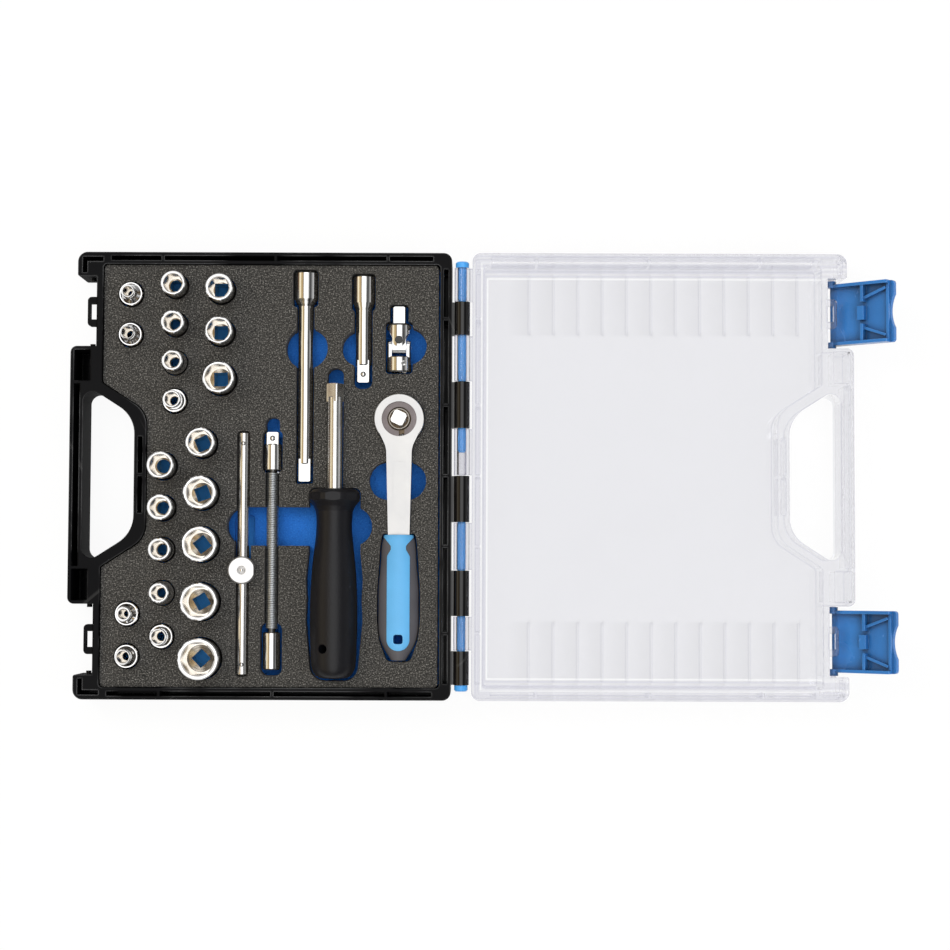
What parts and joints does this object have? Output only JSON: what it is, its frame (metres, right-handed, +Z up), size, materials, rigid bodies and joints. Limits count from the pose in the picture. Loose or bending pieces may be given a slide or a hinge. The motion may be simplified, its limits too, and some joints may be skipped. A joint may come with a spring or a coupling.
{
  "type": "socket wrench set in case",
  "caption": "Quarter-inch-drive socket set in a flat hinged case: sockets, ratchet, spinner, sliding bar, extensions and a universal joint held in two-colour foam.",
  "frame": {"origin": "middle of the base tray's underside", "axes": "+Z up, +X from the base tray across the hinge to the lid, +Y along the hinge"},
  "size_m": [0.3862, 0.21, 0.0344],
  "materials": {
    "case_black": "glossy black moulded plastic",
    "case_clear": "clear moulded plastic",
    "latch_blue": "satin blue plastic",
    "pin_blue": "light blue plastic",
    "foam_black": "fine closed-cell foam, dark grey",
    "foam_blue": "fine closed-cell foam, blue",
    "chrome": "polished chrome plating",
    "satin_steel": "ground steel",
    "dark_steel": "oiled dark steel",
    "grip_black": "black grained plastic",
    "grip_grey": "dark grey soft plastic",
    "grip_blue": "light blue plastic"
  },
  "bodies": {
    "case_base": {"base_shell": "case_black", "foam_top_layer": "foam_black", "foam_bottom_layer": "foam_blue", "hinge_pin_upper": "pin_blue", "hinge_pin_lower": "pin_blue"},
    "case_lid": {"lid_shell": "case_clear"},
    "upper_latch": {"latch_upper": "latch_blue"},
    "lower_latch": {"latch_lower": "latch_blue"},
    "long_extension": {"extension_long": "chrome", "extension_long_ball": "satin_steel"},
    "short_extension": {"extension_short": "chrome", "extension_short_ball": "satin_steel"},
    "universal_joint": {"joint_socket_fork": "chrome", "joint_side_pin": "satin_steel"},
    "universal_joint_block": {"joint_block": "satin_steel"},
    "universal_joint_drive": {"joint_drive_fork": "chrome", "joint_cross_pin": "satin_steel", "joint_ball": "satin_steel"},
    "spinner_handle": {"spinner_grip": "grip_black", "spinner_shank": "chrome", "spinner_ball": "satin_steel"},
    "ratchet": {"ratchet_body": "chrome", "ratchet_grip_core": "grip_blue", "ratchet_grip_sleeve": "grip_grey", "ratchet_retaining_ring": "dark_steel", "ratchet_pawl": "dark_steel"},
    "ratchet_drive": {"ratchet_drive_gear": "chrome", "ratchet_drive_ball": "satin_steel"},
    "ratchet_lever": {"ratchet_reverse_lever": "chrome"},
    "sliding_bar": {"bar_rod": "chrome", "bar_balls": "satin_steel"},
    "sliding_bar_head": {"bar_slider": "chrome", "bar_slider_ball": "satin_steel"},
    "flexible_extension": {"flex_drive_end": "chrome", "flex_ball": "satin_steel", "flex_core": "dark_steel", "flex_socket_end": "chrome", "flex_winding": "satin_steel"},
    "socket_inch_5_32": {"socket_inch_5_32": "chrome"},
    "socket_inch_3_16": {"socket_inch_3_16": "chrome"},
    "socket_inch_5_16": {"socket_inch_5_16": "chrome"},
    "socket_inch_9_32": {"socket_inch_9_32": "chrome"},
    "socket_inch_1_4": {"socket_inch_1_4": "chrome"},
    "socket_inch_7_32": {"socket_inch_7_32": "chrome"},
    "socket_inch_11_32": {"socket_inch_11_32": "chrome"},
    "socket_inch_3_8": {"socket_inch_3_8": "chrome"},
    "socket_inch_7_16": {"socket_inch_7_16": "chrome"},
    "socket_mm_10": {"socket_mm_10": "chrome"},
    "socket_mm_11": {"socket_mm_11": "chrome"},
    "socket_mm_12": {"socket_mm_12": "chrome"},
    "socket_mm_13": {"socket_mm_13": "chrome"},
    "socket_mm_14": {"socket_mm_14": "chrome"},
    "socket_mm_9": {"socket_mm_9": "chrome"},
    "socket_mm_8": {"socket_mm_8": "chrome"},
    "socket_mm_7": {"socket_mm_7": "chrome"},
    "socket_mm_6": {"socket_mm_6": "chrome"},
    "socket_mm_5_5": {"socket_mm_5_5": "chrome"},
    "socket_mm_5": {"socket_mm_5": "chrome"},
    "socket_mm_4": {"socket_mm_4": "chrome"}
  },
  "joints": [
    {"name": "lid_hinge", "type": "hinge", "parent": "case_base", "child": "case_lid", "pos_m": [0.093, 0, 0.022], "axis": [0, 1, 0], "range_deg": [-180, 0]},
    {"name": "upper_latch_pivot", "type": "hinge", "parent": "case_lid", "child": "upper_latch", "pos_m": [0.2679, 0.077, 0.014], "axis": [0, 1, 0], "range_deg": [-50, 40]},
    {"name": "lower_latch_pivot", "type": "hinge", "parent": "case_lid", "child": "lower_latch", "pos_m": [0.2679, -0.077, 0.014], "axis": [0, 1, 0], "range_deg": [-50, 40]},
    {"name": "long_extension_lift", "type": "slide", "parent": "case_base", "child": "long_extension", "axis": [0, 0, 1], "range_m": [0, 0.06]},
    {"name": "short_extension_lift", "type": "slide", "parent": "case_base", "child": "short_extension", "axis": [0, 0, 1], "range_m": [0, 0.06]},
    {"name": "universal_joint_lift", "type": "slide", "parent": "case_base", "child": "universal_joint", "axis": [0, 0, 1], "range_m": [0, 0.06]},
    {"name": "spinner_handle_lift", "type": "slide", "parent": "case_base", "child": "spinner_handle", "axis": [0, 0, 1], "range_m": [0, 0.06]},
    {"name": "ratchet_lift", "type": "slide", "parent": "case_base", "child": "ratchet", "axis": [0, 0, 1], "range_m": [0, 0.06]},
    {"name": "sliding_bar_lift", "type": "slide", "parent": "case_base", "child": "sliding_bar", "axis": [0, 0, 1], "range_m": [0, 0.06]},
    {"name": "flexible_extension_lift", "type": "slide", "parent": "case_base", "child": "flexible_extension", "axis": [0, 0, 1], "range_m": [0, 0.06]},
    {"name": "socket_inch_5_32_lift", "type": "slide", "parent": "case_base", "child": "socket_inch_5_32", "axis": [0, 0, 1], "range_m": [0, 0.06]},
    {"name": "socket_inch_3_16_lift", "type": "slide", "parent": "case_base", "child": "socket_inch_3_16", "axis": [0, 0, 1], "range_m": [0, 0.06]},
    {"name": "socket_inch_5_16_lift", "type": "slide", "parent": "case_base", "child": "socket_inch_5_16", "axis": [0, 0, 1], "range_m": [0, 0.06]},
    {"name": "socket_inch_9_32_lift", "type": "slide", "parent": "case_base", "child": "socket_inch_9_32", "axis": [0, 0, 1], "range_m": [0, 0.06]},
    {"name": "socket_inch_1_4_lift", "type": "slide", "parent": "case_base", "child": "socket_inch_1_4", "axis": [0, 0, 1], "range_m": [0, 0.06]},
    {"name": "socket_inch_7_32_lift", "type": "slide", "parent": "case_base", "child": "socket_inch_7_32", "axis": [0, 0, 1], "range_m": [0, 0.06]},
    {"name": "socket_inch_11_32_lift", "type": "slide", "parent": "case_base", "child": "socket_inch_11_32", "axis": [0, 0, 1], "range_m": [0, 0.06]},
    {"name": "socket_inch_3_8_lift", "type": "slide", "parent": "case_base", "child": "socket_inch_3_8", "axis": [0, 0, 1], "range_m": [0, 0.06]},
    {"name": "socket_inch_7_16_lift", "type": "slide", "parent": "case_base", "child": "socket_inch_7_16", "axis": [0, 0, 1], "range_m": [0, 0.06]},
    {"name": "socket_mm_10_lift", "type": "slide", "parent": "case_base", "child": "socket_mm_10", "axis": [0, 0, 1], "range_m": [0, 0.06]},
    {"name": "socket_mm_11_lift", "type": "slide", "parent": "case_base", "child": "socket_mm_11", "axis": [0, 0, 1], "range_m": [0, 0.06]},
    {"name": "socket_mm_12_lift", "type": "slide", "parent": "case_base", "child": "socket_mm_12", "axis": [0, 0, 1], "range_m": [0, 0.06]},
    {"name": "socket_mm_13_lift", "type": "slide", "parent": "case_base", "child": "socket_mm_13", "axis": [0, 0, 1], "range_m": [0, 0.06]},
    {"name": "socket_mm_14_lift", "type": "slide", "parent": "case_base", "child": "socket_mm_14", "axis": [0, 0, 1], "range_m": [0, 0.06]},
    {"name": "socket_mm_9_lift", "type": "slide", "parent": "case_base", "child": "socket_mm_9", "axis": [0, 0, 1], "range_m": [0, 0.06]},
    {"name": "socket_mm_8_lift", "type": "slide", "parent": "case_base", "child": "socket_mm_8", "axis": [0, 0, 1], "range_m": [0, 0.06]},
    {"name": "socket_mm_7_lift", "type": "slide", "parent": "case_base", "child": "socket_mm_7", "axis": [0, 0, 1], "range_m": [0, 0.06]},
    {"name": "socket_mm_6_lift", "type": "slide", "parent": "case_base", "child": "socket_mm_6", "axis": [0, 0, 1], "range_m": [0, 0.06]},
    {"name": "socket_mm_5_5_lift", "type": "slide", "parent": "case_base", "child": "socket_mm_5_5", "axis": [0, 0, 1], "range_m": [0, 0.06]},
    {"name": "socket_mm_5_lift", "type": "slide", "parent": "case_base", "child": "socket_mm_5", "axis": [0, 0, 1], "range_m": [0, 0.06]},
    {"name": "socket_mm_4_lift", "type": "slide", "parent": "case_base", "child": "socket_mm_4", "axis": [0, 0, 1], "range_m": [0, 0.06]},
    {"name": "universal_joint_pitch", "type": "hinge", "parent": "universal_joint", "child": "universal_joint_block", "pos_m": [0.0633, 0.0608, 0.0172], "axis": [1, 0, 0], "range_deg": [0, 45]},
    {"name": "universal_joint_yaw", "type": "hinge", "parent": "universal_joint_block", "child": "universal_joint_drive", "pos_m": [0.0633, 0.0638, 0.0172], "axis": [0, 0, 1], "range_deg": [-3, 3]},
    {"name": "ratchet_drive_turn", "type": "hinge", "parent": "ratchet", "child": "ratchet_drive", "pos_m": [0.0636, 0.0266, 0.0174], "axis": [0, 0, 1], "continuous": true},
    {"name": "ratchet_lever_turn", "type": "hinge", "parent": "ratchet", "child": "ratchet_lever", "pos_m": [0.0636, 0.0266, 0.0114], "axis": [0, 0, 1], "range_deg": [-25, 25]},
    {"name": "sliding_bar_head_slide", "type": "slide", "parent": "sliding_bar", "child": "sliding_bar_head", "axis": [0, 1, 0], "range_m": [0, 0.021]}
  ]
}
